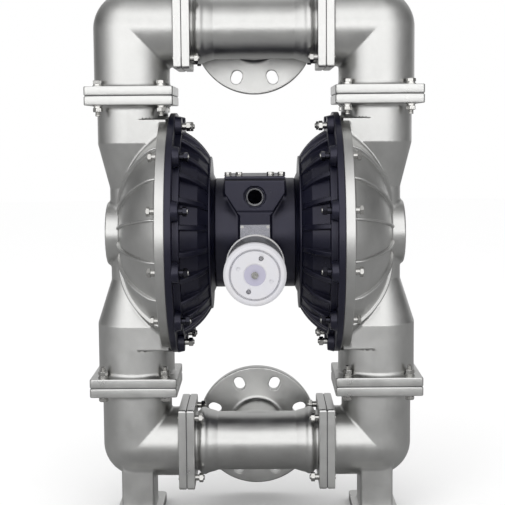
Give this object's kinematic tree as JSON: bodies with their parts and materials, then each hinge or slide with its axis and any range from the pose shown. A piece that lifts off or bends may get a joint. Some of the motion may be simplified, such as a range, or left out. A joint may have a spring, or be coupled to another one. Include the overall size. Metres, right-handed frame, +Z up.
{
  "type": "air operated diaphragm pump",
  "caption": "Twin chamber diaphragm pump driven by compressed air, with stainless wet ends, flanged ports at the back, a silencer in front and two feet.",
  "frame": {"origin": "centre of the four foot bolt holes, on the plane that the feet stand on", "axes": "+X along the shaft, +Y out of the two ports, away from the silencer, +Z up"},
  "size_m": [0.522, 0.4492, 0.881],
  "materials": {
    "stainless_casting": "bead blasted stainless casting",
    "black_casting": "blue black semi gloss coating",
    "stainless_fastener": "bright stainless fasteners",
    "ground_steel": "ground",
    "bronze": "machined bronze",
    "black_rubber": "moulded rubber",
    "grey_gasket": "fibre gasket",
    "white_ptfe": "turned",
    "steel_seat": "machined",
    "piston_aluminium": "machined",
    "piston_steel": "machined",
    "bright_insert": "turned",
    "label_aluminium": "brushed and bare",
    "white_plastic": "moulded",
    "grey_plastic": "moulded",
    "screen_steel": "perforated sheet"
  },
  "bodies": {
    "pump": {"center_body": "black_casting", "valve_cover": "black_casting", "valve_cover_gasket": "black_rubber", "valve_cover_bolts": "stainless_fastener", "valve_sleeve": "bronze", "valve_end_plugs": "piston_aluminium", "pilot_bushes": "bronze", "shaft_bushes": "bronze", "shaft_seals": "black_rubber", "air_inlet_bush": "bright_insert", "label_plate": "label_aluminium", "label_rivets": "stainless_fastener", "silencer_base": "grey_plastic", "silencer_screen": "screen_steel", "silencer_cap": "white_plastic", "silencer_tie_rod": "stainless_fastener", "inner_chamber_right": "black_casting", "inner_chamber_left": "black_casting", "outer_chamber_right": "stainless_casting", "outer_chamber_left": "stainless_casting", "center_screws": "stainless_fastener", "chamber_bolts": "stainless_fastener", "chamber_nuts": "stainless_fastener", "discharge_seats": "steel_seat", "inlet_seats": "steel_seat", "joint_gaskets": "grey_gasket", "manifold_gaskets": "grey_gasket", "discharge_elbow_right": "stainless_casting", "discharge_elbow_left": "stainless_casting", "inlet_elbow_right": "stainless_casting", "inlet_elbow_left": "stainless_casting", "discharge_manifold": "stainless_casting", "inlet_manifold": "stainless_casting", "joint_bolts": "stainless_fastener", "joint_nuts": "stainless_fastener", "manifold_bolts": "stainless_fastener", "manifold_nuts": "stainless_fastener"},
    "shaft_assembly": {"shaft": "ground_steel", "inner_piston_right": "piston_aluminium", "inner_piston_left": "piston_aluminium", "outer_piston_right": "piston_steel", "outer_piston_left": "piston_steel", "shaft_nuts": "stainless_fastener", "diaphragm_right": "black_rubber", "diaphragm_left": "black_rubber"},
    "pilot_pin": {"pilot_pin": "ground_steel"},
    "valve_spool": {"valve_spool": "ground_steel"},
    "discharge_ball_right": {"discharge_ball_right": "white_ptfe"},
    "discharge_ball_left": {"discharge_ball_left": "white_ptfe"},
    "inlet_ball_right": {"inlet_ball_right": "white_ptfe"},
    "inlet_ball_left": {"inlet_ball_left": "white_ptfe"}
  },
  "joints": [
    {"name": "shaft_stroke", "type": "slide", "parent": "pump", "child": "shaft_assembly", "axis": [1, 0, 0], "range_m": [-0.018, 0.018], "deforming": ["diaphragm_right", "diaphragm_left"]},
    {"name": "pilot_shift", "type": "slide", "parent": "pump", "child": "pilot_pin", "axis": [1, 0, 0], "range_m": [-0.008, 0.008]},
    {"name": "spool_shift", "type": "slide", "parent": "pump", "child": "valve_spool", "axis": [1, 0, 0], "range_m": [-0.008, 0.008]},
    {"name": "discharge_ball_right_lift", "type": "slide", "parent": "pump", "child": "discharge_ball_right", "axis": [0, 0, 1], "range_m": [0, 0.016]},
    {"name": "discharge_ball_left_lift", "type": "slide", "parent": "pump", "child": "discharge_ball_left", "axis": [0, 0, 1], "range_m": [0, 0.016]},
    {"name": "inlet_ball_right_lift", "type": "slide", "parent": "pump", "child": "inlet_ball_right", "axis": [0, 0, 1], "range_m": [0, 0.016]},
    {"name": "inlet_ball_left_lift", "type": "slide", "parent": "pump", "child": "inlet_ball_left", "axis": [0, 0, 1], "range_m": [0, 0.016]}
  ],
  "couplings": [
    {"joint": "pilot_shift", "follows": "shaft_stroke", "ratio": 0.44444}
  ]
}
